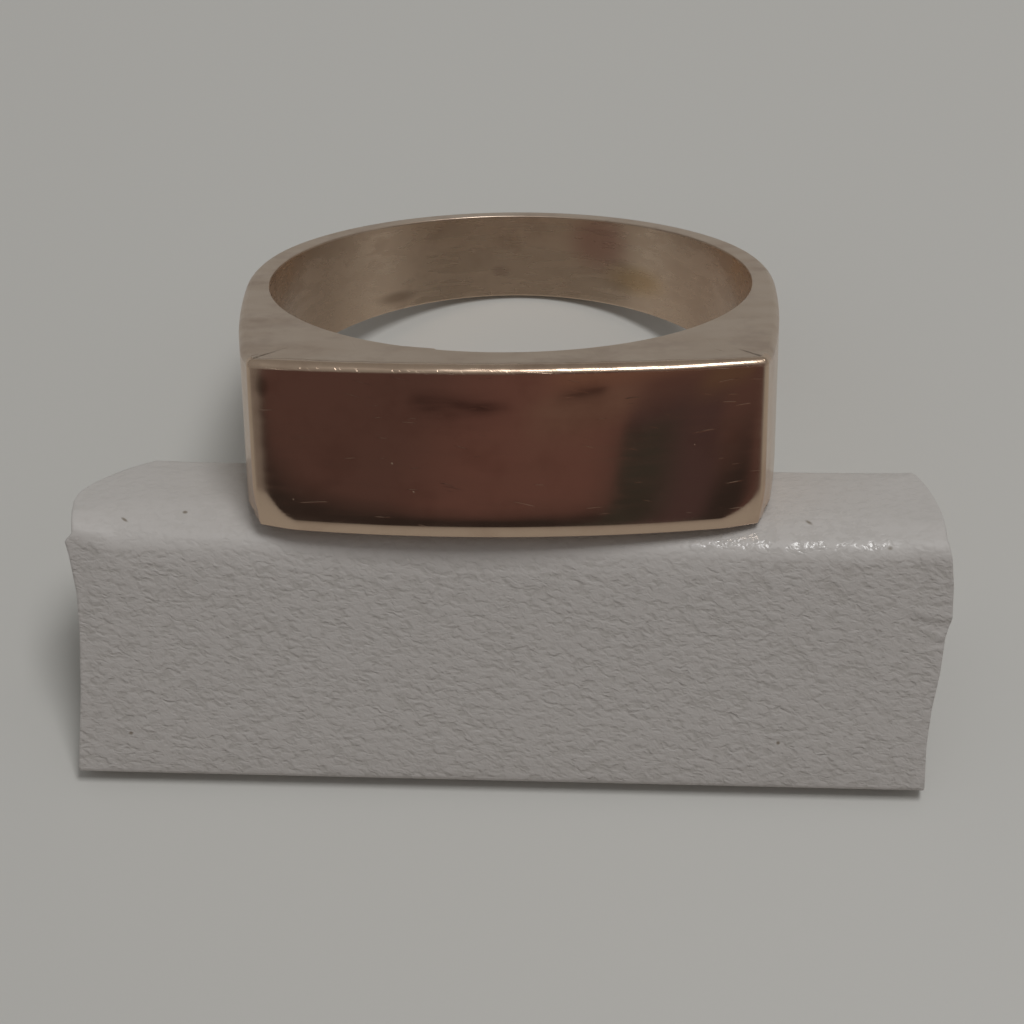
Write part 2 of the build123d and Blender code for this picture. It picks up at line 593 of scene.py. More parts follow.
@dataclass(frozen=True)
class PlateWear:
    """How years of wear and buffing have rounded the plate's face, in millimetres."""

    buff_up: float = 0.018
    buff_along: float = 0.03
    lower_width: float = 0.39
    lower_slope: float = tan(radians(17))
    left_width: float = 0.58
    right_width: float = 0.22
    side_slope: float = tan(radians(7))
    contour_r: float = 1.7
    corner_extra: float = 0.16
    softness: float = 0.1
    side_softness: float = 0.08
    corner_r: float = 0.5
    corner_fade: float = 2.5
    face_fade: tuple[float, float] = (0.1, 1.5)
    dull_range: tuple[float, float] = (-2.5, 1.5)

    def border(
        self, sizes: RingSizes, outer: np.ndarray, height: np.ndarray
    ) -> tuple[np.ndarray, np.ndarray, np.ndarray]:
        """The rubbed border, which follows the lower edge and both sides and is widest at the lower corners.

        Args:
            sizes: The ring's sizes.
            outer: Outline points in plan.
            height: Height of each point over the ring's middle plane.

        Returns:
            For each point: how far inside the border it lies, and the border's slope and softness there.
        """
        half_w, half_h = sizes.plate_w / 2, sizes.plate_h / 2
        near_side = np.maximum(self.contour_r - (half_w - np.abs(outer[:, 0])), 0.0)
        near_low = np.maximum(self.contour_r - (height + half_h), 0.0)
        reach = np.hypot(near_side, near_low)
        low_share = near_low / np.maximum(reach, 1e-9)
        in_corner = 2 * low_share * np.sqrt(1 - low_share**2)
        side_width = np.where(outer[:, 0] < 0, self.left_width, self.right_width)
        width = side_width + (self.lower_width - side_width) * low_share**2 + self.corner_extra * in_corner
        slope = self.side_slope + (self.lower_slope - self.side_slope) * low_share
        softness = self.softness + self.side_softness * (1 - low_share) ** 2
        return width - (self.contour_r - reach), slope, softness

    def depth(self, sizes: RingSizes, outer: np.ndarray, height: np.ndarray) -> np.ndarray:
        """How far the face has gone back.

        Args:
            sizes: The ring's sizes.
            outer: Outline points in plan.
            height: Height of each point over the ring's middle plane.

        Returns:
            The depth at each point.
        """
        on_face = 1 - smooth(outer[:, 1] - sizes.corner_y, *self.face_fade)
        across = np.minimum(np.abs(outer[:, 0]) / (sizes.plate_w / 2), 1.0)
        upward = np.minimum(np.abs(height) / (sizes.plate_h / 2), 1.0)
        inside, slope, softness = self.border(sizes, outer, height)
        buffed = self.buff_up * upward**4 + self.buff_along * across**8
        return (buffed + slope * bend(inside, softness)) * on_face

    def rubbed(self, sizes: RingSizes, outer: np.ndarray, height: np.ndarray) -> np.ndarray:
        """How dull the face is rubbed, from 0 on the mirror to 1 on the border."""
        inside, _, softness = self.border(sizes, outer, height)
        return smooth(inside / softness, *self.dull_range)

    def round_corners(self, sizes: RingSizes, points: np.ndarray) -> np.ndarray:
        """Pulls the plate's lower corners in, so that they are round when they are seen from the front.

        Args:
            sizes: The ring's sizes.
            points: Points in the ring's own frame.

        Returns:
            The moved points.
        """
        past_x = np.maximum(np.abs(points[:, 0]) - (sizes.plate_w / 2 - self.corner_r), 0.0)
        past_z = np.maximum(-points[:, 2] - (sizes.plate_h / 2 - self.corner_r), 0.0)
        reach = np.maximum(np.hypot(past_x, past_z), 1e-9)
        fade = 1 - smooth(points[:, 1], sizes.corner_y, sizes.corner_y + self.corner_fade)
        pull = np.maximum(reach - self.corner_r, 0.0) / reach * fade * (past_x > 0) * (past_z > 0)
        made = points.copy()
        made[:, 0] -= np.sign(points[:, 0]) * past_x * pull
        made[:, 2] += past_z * pull
        return made


GOLD_FINISHES = {
    # Buffed to a mirror, which shows the room behind a few hairlines and pits, with a dull border
    Zone.PLATE: GoldFinish(
        "gold_plate_mirror_polished",
        roughness=0.05,
        rough_spread=0.04,
        scratch_depth_mm=0.0008,
        scratch_from=0.83,
        wave_mm=2.4,
        wave_depth_mm=0.003,
        film=0.15,
        scratch_turns=(3, -5, 14),
        scratch_length_mm=1.2,
        pit_share=0.5,
        # A darker patch of colour near the plate's upper left corner
        stains_and_painted_shade=((Spot((-9.2, -11.0, 2.5), (0.35, 1.0, 0.6), 8), "A8937F"),),
        border_extra=0.16,
    ),
    # Satin from handling: an even pale tone with short scratches, and a nick near each shoulder
    Zone.SIDES: GoldFinish(
        "gold_sides_satin_worn",
        roughness=0.3,
        rough_spread=0.14,
        scratch_depth_mm=0.003,
        scratch_from=0.74,
        wave_mm=1.2,
        wave_depth_mm=0.006,
        film=0.25,
        scratch_turns=(4, -17, 40),
        dents=(
            Spot((8.0, -9.85, 3.4), (0.3, 0.07, 2.0), -44),
            Spot((-9.5, -10.2, 3.4), (0.3, 0.09, 2.0), 50),
        ),
        colour="D2BFAD",
    ),
    # Polished, then dulled by the finger: soft streaks, with painted shade that darkens both sides of the
    # hole and a few small stains on its back wall
    Zone.BORE: GoldFinish(
        "gold_bore_polished",
        roughness=0.23,
        rough_spread=0.12,
        scratch_depth_mm=0.001,
        scratch_from=0.82,
        wave_mm=1.8,
        wave_depth_mm=0.012,
        film=0.2,
        scratch_turns=(4, -33),
        stains_and_painted_shade=(
            # Painted shade: the two large spots darken the left and right walls of the hole, the left more.
            # The four small spots are stains.
            (Spot((-9.6, 4.5, 0.0), (6.4, 7.0, 9.0)), "A6917E"),
            (Spot((9.6, 4.5, 0.0), (5.6, 7.0, 9.0)), "BBA38F"),
            (Spot((3.8, 9.2, 0.9), (1.9, 2.5, 1.9)), "CDA896"),
            (Spot((5.4, 8.2, -0.6), (2.1, 2.0, 1.0)), "CDB08E"),
            (Spot((-5.2, 8.4, -1.4), (1.6, 1.0, 0.4)), "B49D89"),
            (Spot((-0.6, 9.9, -0.7), (0.6, 1.0, 0.35)), "CDB4A0"),
        ),
        colour="E0C8B1",
    ),
    # Rubbed round: a bright line that breaks up into beads
    Zone.BEVEL: GoldFinish(
        "gold_bevel_rubbed",
        roughness=0.2,
        rough_spread=0.12,
        scratch_depth_mm=0.004,
        scratch_from=0.7,
        wave_mm=0.9,
        wave_depth_mm=0.008,
        film=0.3,
        scratch_turns=(4, 50),
    ),
}


@dataclass
class Ring:
    """The one-piece ring, as a fine mesh with its worn edges."""

    sizes: RingSizes = field(default_factory=RingSizes)
    wear: PlateWear = field(default_factory=PlateWear)
    plate_steps: int = 120
    corner_steps: int = 12
    side_steps: int = 50
    back_steps: int = 110
    wall_steps: int = 44
    bevel_steps: int = 10
    lower_steps: int = 8
    rim_steps: int = 5
    bore_steps: int = 17
    plate_lower_round: float = 0.15
    plate_upper_in: float = 0.42
    plate_upper_in_left: float = 0.26
    left_end: tuple[float, float] = (8.6, 9.7)
    plate_upper_narrowing: float = 0.3
    right_end: tuple[float, float] = (5.5, 9.6)
    plate_upper_down: float = 0.3
    bite: float = 0.05
    shoulder_round: float = 0.3
    back_round: float = 0.08
    rim_round: float = 0.05
    rim_burr_out: float = 0.12
    groove: float = 0.02

    def arcs(self) -> list[tuple[np.ndarray, float, float, float, int]]:
        """The right half of the outline.

        Returns:
            Centre, radius, first angle, last angle and steps of each arc.
        """
        s = self.sizes
        half = s.plate_w / 2
        face_r = (half**2 + s.plate_sag**2) / (2 * s.plate_sag)
        out = s.outer_r - half
        run = s.outer_y - s.corner_y
        side_r = (out**2 + run**2) / (2 * out)
        face_c = np.array([0.0, s.plate_y + face_r])
        side_c = np.array([s.outer_r - side_r, s.outer_y])
        corner_c = self.meet(face_c, face_r - s.upright_round, side_c, side_r - s.upright_round)
        to_face = corner_c - face_c
        to_side = corner_c - side_c
        face_end = atan2(to_face[1], to_face[0])
        side_start = atan2(to_side[1], to_side[0])
        return [
            (face_c, face_r, -pi / 2, face_end, self.plate_steps),
            (corner_c, s.upright_round, face_end, side_start, self.corner_steps),
            (side_c, side_r, side_start, 0.0, self.side_steps),
            (np.array([0.0, s.outer_y]), s.outer_r, 0.0, pi / 2, self.back_steps),
        ]

    @staticmethod
    def meet(one: np.ndarray, one_r: float, other: np.ndarray, other_r: float) -> np.ndarray:
        """Where two circles meet.

        Args:
            one: Centre of the first circle.
            one_r: Its radius.
            other: Centre of the second circle.
            other_r: Its radius.

        Returns:
            The right-hand lower one of the two points.
        """
        gap = other - one
        distance = float(np.hypot(*gap))
        along = (one_r**2 - other_r**2 + distance**2) / (2 * distance)
        off = sqrt(one_r**2 - along**2)
        foot = one + gap / distance * along
        side = np.array([-gap[1], gap[0]]) / distance * off
        return max(foot + side, foot - side, key=lambda p: p[0] - p[1])

    def outline(self) -> tuple[np.ndarray, np.ndarray]:
        """The whole outline, from the plate's middle round by the right.

        Returns:
            Points in plan, and the outward normal at each.
        """
        points, normals = [], []
        for centre, radius, first, last, steps in self.arcs():
            angles = np.linspace(first, last, steps, endpoint=False)
            ways = np.stack([np.cos(angles), np.sin(angles)], 1)
            points.append(centre + radius * ways)
            normals.append(ways)
        right, ways = np.concatenate(points), np.concatenate(normals)
        back = np.array([[0.0, self.sizes.outer_y + self.sizes.outer_r]])
        flip = np.array([-1.0, 1.0])
        return (
            np.concatenate([right, back, (right * flip)[:0:-1]]),
            np.concatenate([ways, [[0.0, 1.0]], (ways * flip)[:0:-1]]),
        )

    def side_height(self, plan: np.ndarray) -> np.ndarray:
        """Height of the upper flat side over points in plan. The lower one mirrors it."""
        s = self.sizes
        return s.plate_h / 2 - (plan[:, 1] - s.plate_y) * tan(s.taper)

    def edge_rounds(self, outline: np.ndarray) -> tuple[np.ndarray, np.ndarray, np.ndarray]:
        """Sizes of the worn edges round the outline.

        The plate's upper edge is buffed widest in the middle and on the left, with small bites.

        Args:
            outline: Outline points in plan.

        Returns:
            How far the upper edge's round reaches in over the side, how far it reaches down, and the lower
            edge's radius.
        """
        s = self.sizes
        across, back = outline[:, 0], outline[:, 1]
        off_face = smooth(back, s.corner_y, s.corner_y + 2.0)
        shoulder = off_face * (1 - smooth(back, 0.0, 8.0))
        to_right = smooth(across, *self.right_end)
        to_left = smooth(-across, *self.left_end)
        bites = 0.5 + 0.5 * np.sin(2.1 * across + 1.7 * np.sin(3.4 * across))
        face_in = self.plate_upper_in * (1 - self.plate_upper_narrowing * to_right)
        face_in += self.bite * bites * (1 - to_right)
        face_in = face_in * (1 - to_left) + self.plate_upper_in_left * to_left
        plain = s.upper_round + (self.shoulder_round - s.upper_round) * shoulder
        plain += (self.back_round - plain) * smooth(back, 0.0, 6.0)
        upper_in = face_in * (1 - off_face) + plain * off_face
        upper_down = self.plate_upper_down * (1 - off_face) + plain * off_face
        lower = self.plate_lower_round * (1 - off_face) + s.lower_round * off_face
        return upper_in, upper_down, lower

    def burr(self, outline: np.ndarray) -> np.ndarray:
        """How marked the burr line along the plate's upper edge is.

        Args:
            outline: Outline points in plan.

        Returns:
            A share from 0 to 1 for each point.
        """
        across = outline[:, 0]
        off_face = smooth(outline[:, 1], self.sizes.corner_y - 0.3, self.sizes.corner_y + 0.2)
        uneven = 0.75 + 0.25 * np.sin(3.1 * across + 2.0 * np.sin(1.3 * across))
        return (1 - 0.65 * smooth(across, -1.0, 5.0)) * uneven * (1 - 0.95 * off_face) + 0.01

    def rim_burr(self, way: np.ndarray) -> np.ndarray:
        """How far a torn sliver of metal stands into the hole at its front rim.

        Args:
            way: The direction of each point from the finger axis.

        Returns:
            The sliver's width at each point.
        """
        x = way[:, 0] * self.sizes.finger_r
        start = smooth(x, -3.95, -3.7) * (0.5 + 0.5 * smooth(x, -3.7, -2.8))
        return self.rim_burr_out * start * (1 - smooth(x, -2.78, -2.68)) * (way[:, 1] < 0)

    def rows(self) -> tuple[list[np.ndarray], list[Zone]]:
        """The ring's skin, from the plate's lower edge up, over the top, down the hole and back underneath.

        Returns:
            Lines of points, each once round the ring, and the zone between each line and the next.
        """
        s = self.sizes
        outline, normals = self.outline()
        way = outline / np.linalg.norm(outline, axis=1, keepdims=True)
        upper_in, upper_down, lower = self.edge_rounds(outline)
        rows: list[np.ndarray] = []
        zones: list[Zone] = []

        def put(plan: np.ndarray, height: np.ndarray, zone: Zone) -> None:
            """Adds a line of points."""
            rows.append(self.wear.round_corners(s, np.column_stack([plan, height])))
            zones.append(zone)

        def inset(height: np.ndarray, by: np.ndarray | float) -> np.ndarray:
            """The outline at a height, worn and drawn in."""
            return outline - normals * (self.wear.depth(s, outline, height) + by)[:, None]

        # The plate and the outside
        top = self.side_height(outline)
        wall_low, wall_top = lower - top, top - upper_down
        for share in (1 - np.cos(np.linspace(0, pi, self.wall_steps + 1))) / 2:
            height = wall_low + (wall_top - wall_low) * share
            put(inset(height, 0.0), height, Zone.BEVEL if share == 1 else Zone.PLATE)
        turns = np.linspace(0, pi / 2, self.bevel_steps + 1)[1:]
        for turn in turns:
            plan = inset(wall_top, upper_in * (1 - cos(turn)))
            height = self.side_height(plan) - upper_down * (1 - sin(turn))
            put(plan, height, Zone.SIDES if turn == turns[-1] else Zone.BEVEL)
        # A groove is left where the buffed edge meets the satin side, deepest to the left
        burr = self.burr(outline)
        for step, drop in ((0.025, 0.6), (0.05, 1.0), (0.08, 0.3)):
            plan = inset(wall_top, upper_in + step * burr)
            put(plan, self.side_height(plan) - self.groove * drop * burr, Zone.SIDES)
        start = inset(wall_top, upper_in + 0.1)
        put(start, self.side_height(start), Zone.SIDES)
        sliver = way * self.rim_burr(way)[:, None]
        rim = way * (s.finger_r + self.rim_round)
        for share in (0.04, 0.12, 0.25, 0.5, 0.75, 0.9, 0.97):
            plan = start + (rim - sliver - start) * share
            put(plan, self.side_height(plan), Zone.SIDES)
        # The finger hole
        for turn in np.linspace(0, pi / 2, self.rim_steps + 1):
            plan = way * (s.finger_r + self.rim_round * (1 - sin(turn))) - sliver * (1 - sin(turn))
            put(plan, self.side_height(plan) - self.rim_round * (1 - cos(turn)), Zone.SIDES)
        bore = way * s.finger_r
        bore_top = self.side_height(bore) - self.rim_round
        for share in ((1 - np.cos(np.linspace(0, pi, self.bore_steps + 1))) / 2)[1:]:
            put(bore, bore_top * (1 - 2 * share), Zone.BORE)
        for turn in np.linspace(pi / 2, 0, self.rim_steps + 1)[1:]:
            plan = way * (s.finger_r + self.rim_round * (1 - sin(turn)))
            height = self.rim_round * (1 - cos(turn)) - self.side_height(plan)
            put(plan, height, Zone.SIDES if turn == 0 else Zone.BORE)
        # The underside and the plate's lower edge
        end = inset(wall_low, lower)
        for share in (0.03, 0.1, 0.25, 0.5, 0.75, 0.9, 0.97, 1.0):
            plan = rim + (end - rim) * share
            put(plan, -self.side_height(plan), Zone.SIDES)
        for turn in np.linspace(pi / 2, 0, self.lower_steps + 1)[1:-1]:
            plan = inset(wall_low, lower * (1 - cos(turn)))
            put(plan, lower * (1 - sin(turn)) - self.side_height(plan), Zone.PLATE)
        return rows, zones

    def build(self, stand: Stand) -> bpy.types.Object:
        """Makes the ring's mesh, dresses it and seats it.

        Args:
            stand: Where the ring stands.

        Returns:
            The ring's object, riding on the body.
        """
        rows, zones = self.rows()
        outline = self.outline()[0]
        around = len(outline)
        off_face = outline[:, 1] > self.sizes.corner_y + 0.6
        faces: list[Face] = []
        places: list[int] = []
        for j, zone in enumerate(zones):
            faces += belt_faces(j * around, (j + 1) % len(rows) * around, around)
            # Only the plate's bevel is rubbed. Round the rest of the ring the edge is satin, as the side is.
            behind = Zone.SIDES if zone is Zone.BEVEL else zone
            places += np.where(off_face, behind.value, zone.value).tolist()
        made = mesh_object("ring_worn_gold", np.concatenate(rows), faces)
        rubbed = np.concatenate([self.wear.rubbed(self.sizes, outline, row[:, 2]) for row in rows])
        made.data.attributes.new(RUBBED, "FLOAT", "POINT").data.foreach_set("value", rubbed)
        made.data.transform(stand.matrix())
        for zone in Zone:
            made.data.materials.append(GOLD_FINISHES[zone].material(stand.matrix()))
        made.data.polygons.foreach_set("material_index", places)
        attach(made, BODY)
        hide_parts("ring")
        return made


@dataclass(frozen=True)
class CutPoint:
    """A point of the cover's cut edge: its place over the pad and how far it stands out.

    The place is measured along the cover from the ridge: down the front above 0, back over the top below 0.
    """

    girth: float
    out: float


@dataclass(frozen=True)
class Fold:
    """A short pressed fold in the cover's front, between two points given as x and girth.

    It bows down between its ends, and a low ridge stands above it. The fades are shares of its length, and
    the ridge's place and the fold's reach to either side are counted in the fold's own width.
    """

    start: tuple[float, float]
    end: tuple[float, float]
    depth: float
    wide: float
    bow: float = 0.25
    start_fade: tuple[float, float] = (0.0, 0.5)
    end_fade: tuple[float, float] = (1.1, 1.3)
    ridge_share: float = 0.6
    ridge_above: float = 1.8
    side_reach: float = 6.0


class PadZone(Enum):
    """Materials of the pad, by their place on the mesh."""

    COVER = 0
    CORE = 1


@dataclass
class DisplayPad:
    """The pad: a leatherette cover round a core, cut off by hand at both ends."""

    # The wedge, in the sizes that the part has
    width: float = 33.9
    depth: float = 11.0234
    ridge_y: float = 0.8699
    ridge_z: float = 9.6654
    back_height: float = 7.3
    # The core's foot: its lower edge as rows of height and inset, and its upper rows, from the fold's height
    foot: float = 0.7
    foot_inset: float = 0.8
    foot_corner: float = 0.5
    foot_corner_steps: int = 8
    foot_edge: tuple[tuple[float, float], ...] = ((0.0, 0.12), (0.03, 0.05), (0.1, 0.0))
    foot_tops: tuple[float, float] = (-0.05, 0.1)
    # The ridge is a strip between two bends. Its width follows a share, in rows of x and share.
    strip: tuple[tuple[float, float], ...] = (
        (-16.9, 0.9),
        (-15.0, 1.7),
        (0.0, 1.6),
        (12.0, 1.4),
        (16.9, 1.25),
    )
    strip_front: float = 0.4
    strip_back: float = 0.85
    front_bend: float = 0.95
    top_bend: float = 0.9
    # The folded lower edge and the top's rear edge
    fold_round: float = 0.22
    fold_drop: float = 0.2
    back_round: float = 0.5
    least_round: float = 0.03
    # Rounded rear corners, each with its reach along the pad and its reach forward
    left_corner: tuple[float, float] = (2.9, 3.0)
    right_corner: tuple[float, float] = (0.65, 2.6)
    corner_bulge: float = 0.5
    # The open ends: the cut sheet, the recess behind it, and the shares at which their rows of faces lie
    sheet: float = 0.4
    cut_lip: float = 0.03
    recess: float = 0.8
    lip_shares: tuple[float, ...] = (0.1, 0.9)
    recess_shares: tuple[float, ...] = (0.0, 0.9, 1.0)
    core_shares: tuple[float, ...] = (0.02, 0.3, 0.7)
    # The mesh: sections along the pad, closer at its ends, and steps round each section
    sections: int = 150
    sections_to_ends: float = 1.25
    round_steps: int = 8
    front_steps: int = 46
    strip_steps: int = 9
    top_steps: int = 22
    hidden_steps: int = 14
    # The cuts made by hand, and how the cover runs out to them
    left_cut: tuple[CutPoint, ...] = (
        CutPoint(-6.0, -0.1),
        CutPoint(-1.9, -0.16),
        CutPoint(0.6, -0.4),
        CutPoint(0.95, -0.12),
        CutPoint(1.5, -0.24),
        CutPoint(3.2, -0.46),
        CutPoint(4.8, -0.46),
        CutPoint(7.5, -0.34),
        CutPoint(10.8, -0.06),
    )
    right_cut: tuple[CutPoint, ...] = (
        CutPoint(-5.0, 0.0),
        CutPoint(-2.4, 0.13),
        CutPoint(0.0, 0.31),
        CutPoint(0.8, 0.5),
        CutPoint(2.0, 0.62),
        CutPoint(3.4, 0.64),
        CutPoint(4.1, 0.42),
        CutPoint(5.7, 0.3),
        CutPoint(7.3, 0.06),
        CutPoint(8.9, -0.06),
        CutPoint(10.8, -0.04),
    )
    cut_reach: float = 3.5
    cut_fade: float = 1.5
    folds: tuple[Fold, ...] = (
        Fold((15.4, 2.9), (17.6, 3.65), 0.1, 0.16),
        Fold((15.9, 3.6), (17.4, 4.35), 0.08, 0.13),
    )
    front_normal: tuple[float, float, float] = (0.0, -0.85, 0.527)
    # The swelling: its limit, how the cloth is simulated, and the heights and ends at which it is held
    puff_cap: float = 0.12
    cloth_scale: float = 20.0
    cloth_every: int = 3
    cloth_frames: int = 20
    cloth_pressure: float = 4.0
    held_low: float = 0.3
    held_end: float = 1.0
    cover_finish: LeatheretteFinish = field(default_factory=LeatheretteFinish)
    core_finish: PlainFinish = field(
        default_factory=lambda: PlainFinish("white_card_core_cut", "BDB9B3", "AFAAA3", 0.8, 0.4)
    )

    def corners(self, x: float) -> list[tuple[np.ndarray, float, int]]:
        """The corners of one section, from the front's fold over the ridge.

        The ridge is a narrow strip, almost level, between two soft bends.

        Args:
            x: The section's place along the pad.

        Returns:
            For each corner its place, its radius and the steps to the next one.
        """
        half = self.depth / 2
        end = half - self.back_at(x)
        fall = (self.ridge_z - self.back_height) / (half - self.ridge_y)
        low = self.foot - self.fold_drop
        fold = np.array([-half, low])
        ridge = np.array([self.ridge_y, self.ridge_z])
        down = (fold - ridge) / np.linalg.norm(fold - ridge)
        away = np.array([1.0, -fall]) / sqrt(1 + fall**2)
        strip = float(np.interp(x, *zip(*self.strip)))
        back_top = np.array([end, self.ridge_z - fall * (end - self.ridge_y)])
        return [
            (fold, self.fold_round, self.front_steps),
            (ridge + down * self.strip_front * strip, self.front_bend, self.strip_steps),
            (ridge + away * self.strip_back * strip, self.top_bend * min(strip, 1.0), self.top_steps),
            (back_top, self.back_round, self.hidden_steps),
            (np.array([end, low]), self.fold_round, self.hidden_steps),
        ]

    @staticmethod
    def towards(
        before: np.ndarray, corner: np.ndarray, after: np.ndarray
    ) -> tuple[np.ndarray, np.ndarray, np.ndarray, float]:
        """Directions at a corner.

        Args:
            before: The corner before it.
            corner: The corner.
            after: The corner after it.

        Returns:
            The directions to both neighbours and to the inside between them, and half the corner's angle.
        """
        one = (before - corner) / np.linalg.norm(before - corner)
        two = (after - corner) / np.linalg.norm(after - corner)
        half_angle = np.arccos(np.clip(one @ two, -1, 1)) / 2
        return one, two, (one + two) / np.linalg.norm(one + two), half_angle

    def rounded(
        self, before: np.ndarray, corner: np.ndarray, after: np.ndarray, radius: float
    ) -> list[np.ndarray]:
        """Points of a rounded corner.

        Args:
            before: The corner before it.
            corner: The corner.
            after: The corner after it.
            radius: Radius of the round.

        Returns:
            The points, from the side of the corner before it.
        """
        one, two, inward, half_angle = self.towards(before, corner, after)
        reach = radius / np.tan(half_angle)
        centre = corner + inward * radius / np.sin(half_angle)
        start, end = corner + one * reach - centre, corner + two * reach - centre
        swing = np.arccos(np.clip(start @ end / radius**2, -1, 1))
        return [
            centre + (np.sin((1 - t) * swing) * start + np.sin(t * swing) * end) / np.sin(swing)
            for t in np.linspace(0, 1, self.round_steps + 1)
        ]

    def section(self, x: float, inset: float = 0.0) -> np.ndarray:
        """One closed cross-section of the cover.

        Args:
            x: The section's place along the pad.
            inset: How far the section is drawn in, square to the cover.

        Returns:
            Depth and height of each point.
        """
        corners = self.corners(x)
        count = len(corners)
        places = [place for place, _, _ in corners]
        if inset > 0:
            drawn = []
            for k, place in enumerate(places):
                _, _, inward, half_angle = self.towards(places[k - 1], place, places[(k + 1) % count])
                drawn.append(place + inward * inset / np.sin(half_angle))
            places = drawn
            corners = [(p, max(c[1] - inset, self.least_round), c[2]) for p, c in zip(places, corners)]
        rounds = [
            self.rounded(places[k - 1], places[k], places[(k + 1) % count], corners[k][1])
            for k in range(count)
        ]
        line: list[np.ndarray] = []
        for k, (_, _, steps) in enumerate(corners):
            line.extend(rounds[k])
            first, last = rounds[k][-1], rounds[(k + 1) % count][0]
            line.extend(first + (last - first) * share for share in np.linspace(0, 1, steps + 1)[1:-1])
        return np.array(line)

    @staticmethod
    def girth(line: np.ndarray) -> np.ndarray:
        """The distance of each point of a section from the ridge, along the cover."""
        run = np.concatenate([[0.0], np.cumsum(np.linalg.norm(np.diff(line, axis=0), axis=1))])
        return run[int(np.argmax(line[:, 1]))] - run

    def back_at(self, x: float) -> float:
        """How far the rounded rear corners bring the back forward.

        Args:
            x: A place along the pad.

        Returns:
            The distance.
        """
        half = self.width / 2
        back = 0.0
        for away, (wide, deep) in ((x + half, self.left_corner), (half - x, self.right_corner)):
            if away < wide:
                share = 1 - max(away, 0.0) / wide
                bulge = 1 - sqrt(1 - share**2)
                back = max(back, deep * (share + self.corner_bulge * (bulge - share)))
        return back

    def grid(self) -> np.ndarray:
        """The cover's points.

        Returns:
            One row of points round each section along the pad.
        """
        half = self.width / 2
        shares = np.linspace(-1, 1, self.sections)
        shares = np.sign(shares) * (1 - (1 - np.abs(shares)) ** self.sections_to_ends)
        made = []
        for x in shares * half:
            line = self.section(float(x))
            girth = self.girth(line)
            place = np.full(len(line), x)
            for sign, cut in ((-1, self.left_cut), (1, self.right_cut)):
                out = np.interp(girth, [p.girth for p in cut], [p.out for p in cut])
                near_end = float(smooth(sign * x, half - self.cut_reach, half))
                place += sign * out * near_end**self.cut_fade
            made.append(np.column_stack([place, line]))
        return np.array(made)

    @staticmethod
    def tube_faces(count: int, around: int) -> list[Face]:
        """Quads along a tube of count closed sections with around points each."""
        belts = [belt_faces(k * around, (k + 1) * around, around) for k in range(count - 1)]
        return [face[::-1] for belt in belts for face in belt]

    def puff(self, grid: np.ndarray) -> np.ndarray:
        """Lets cloth simulation swell the cover a little, as glued leatherette stands off its core.

        A coarse copy of the cover is simulated 20 times enlarged, where the solver works well. It is held
        along its folds and ends, and no point moves further than the cap.

        Args:
            grid: Points of the cover.

        Returns:
            The swollen points.
        """
        every = self.cloth_every
        along = np.unique(np.append(np.arange(0, grid.shape[0], every), grid.shape[0] - 1))
        round_by = np.arange(0, grid.shape[1], every)
        coarse = grid[along][:, round_by]
        count, around = coarse.shape[:2]
        points = np.concatenate([coarse.reshape(-1, 3), coarse[0].mean(0)[None], coarse[-1].mean(0)[None]])
        faces = self.tube_faces(count, around)
        last = (count - 1) * around
        for i in range(around):
            right = (i + 1) % around
            faces.append((i, right, count * around))
            faces.append((last + right, last + i, count * around + 1))
        cloth = mesh_object("cover_cloth", points * self.cloth_scale, faces)
        near_end = self.width / 2 - np.abs(points[:, 0]) < self.held_end
        held = (points[:, 2] < self.foot + self.held_low) | near_end
        group = cloth.vertex_groups.new(name="held")
        group.add([int(i) for i in np.nonzero(held)[0]], 1.0, "REPLACE")
        settings = cloth.modifiers.new("Cloth", "CLOTH").settings
        settings.use_pressure = True
        settings.uniform_pressure_force = self.cloth_pressure
        settings.vertex_group_mass = group.name
        settings.effector_weights.gravity = 0.0
        scene = bpy.context.scene
        for step in range(1, self.cloth_frames + 1):
            scene.frame_set(step)
        ready = cloth.evaluated_get(bpy.context.evaluated_depsgraph_get())
        after = np.array([v.co for v in ready.data.vertices]) / (self.cloth_scale * MM)
        scene.frame_set(1)
        bpy.data.objects.remove(cloth, do_unlink=True)
        moved = (after - points)[: count * around].reshape(count, around, 3)
        length = np.linalg.norm(moved, axis=2, keepdims=True)
        log.info("cover cloth: %d points, largest move %.3f mm", len(points), float(length.max()))
        moved *= self.puff_cap / np.maximum(length + self.puff_cap, 1e-9)
        return grid + self.spread(moved, along, round_by, grid.shape[:2])

    @staticmethod
    def spread(
        moved: np.ndarray, along: np.ndarray, round_by: np.ndarray, shape: tuple[int, int]
    ) -> np.ndarray:
        """Spreads moves of a coarse grid over a fine one, closed in its second direction.

        Args:
            moved: The coarse grid's moves.
            along: Rows of the fine grid that the coarse one has.
            round_by: Columns of the fine grid that the coarse one has.
            shape: Rows and columns of the fine grid.

        Returns:
            The fine grid's moves.
        """
        closed = np.concatenate([moved, moved[:, :1]], axis=1)
        at = np.append(round_by, shape[1])
        fine = np.empty((*shape, 3))
        for axis in range(3):
            wide = np.array([np.interp(np.arange(shape[1]), at, row[:, axis]) for row in closed])
            for i in range(shape[1]):
                fine[:, i, axis] = np.interp(np.arange(shape[0]), along, wide[:, i])
        return fine

